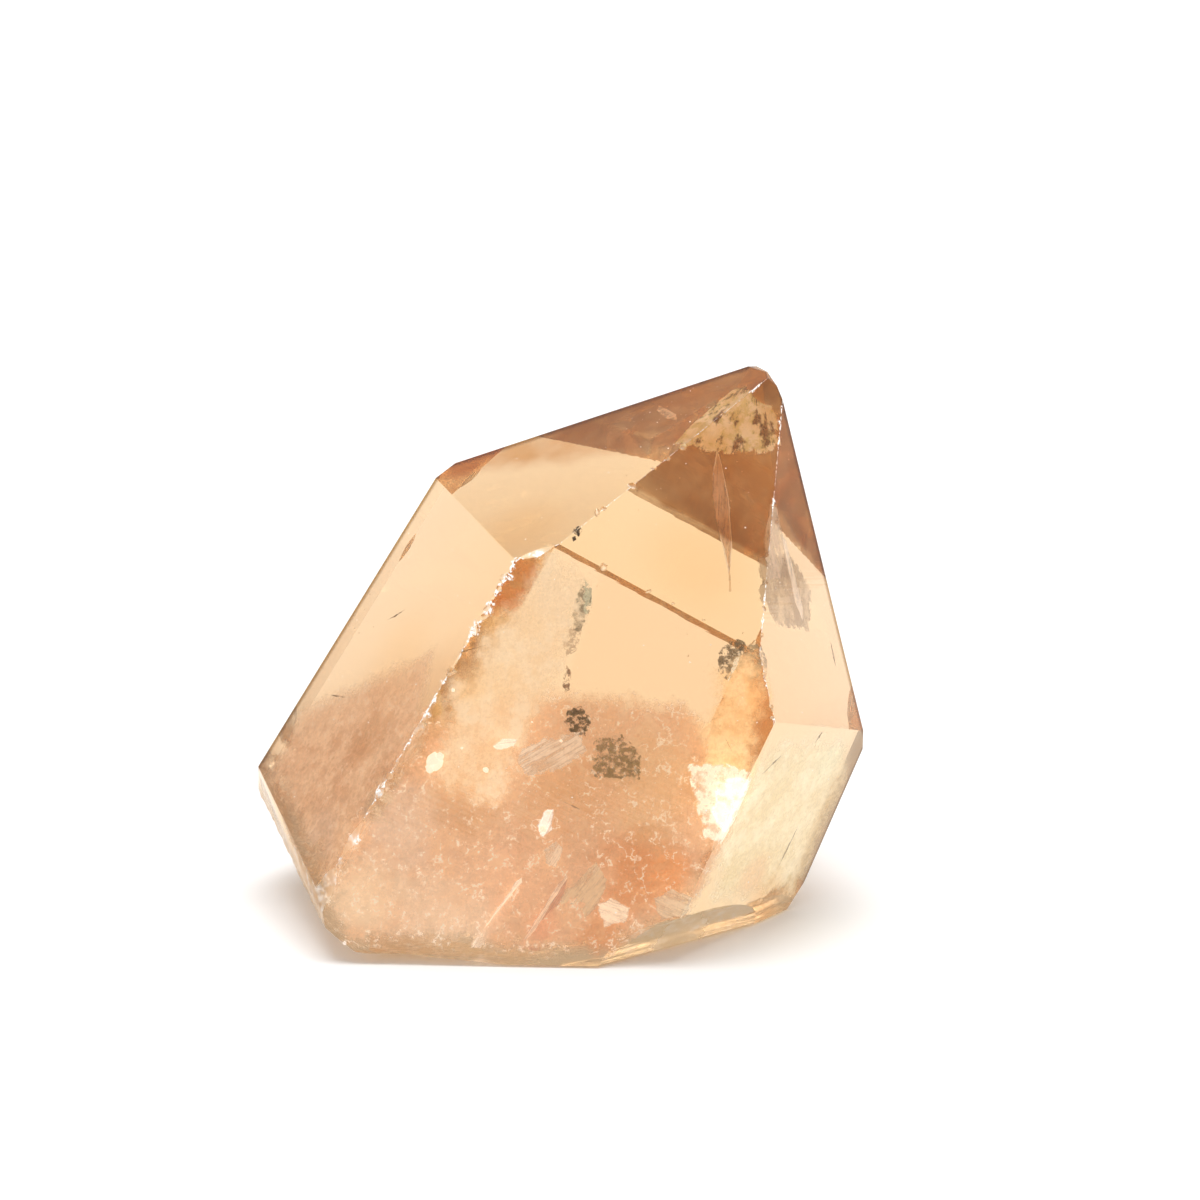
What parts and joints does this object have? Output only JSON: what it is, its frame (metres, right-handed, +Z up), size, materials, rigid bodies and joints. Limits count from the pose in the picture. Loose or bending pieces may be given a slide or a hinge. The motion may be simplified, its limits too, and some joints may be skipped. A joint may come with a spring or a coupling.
{
  "type": "citrine crystal",
  "caption": "Short, stout quartz point with flat prism and tip faces, clear honey-brown, snapped off at the foot so that it rests leaning on its broken end.",
  "frame": {"origin": "middle of the crystal's footprint, on the surface that the broken end rests on", "axes": "+Z up from the resting surface, +X along the object's longest side, towards which the tip leans, +Y along its shortest side, away from the picture's camera"},
  "size_m": [0.0456, 0.0366, 0.0402],
  "materials": {
    "citrine": "clear, glossy growth faces, with a rough broken foot"
  },
  "bodies": {
    "root": {"citrine_crystal": "citrine"}
  },
  "joints": []
}
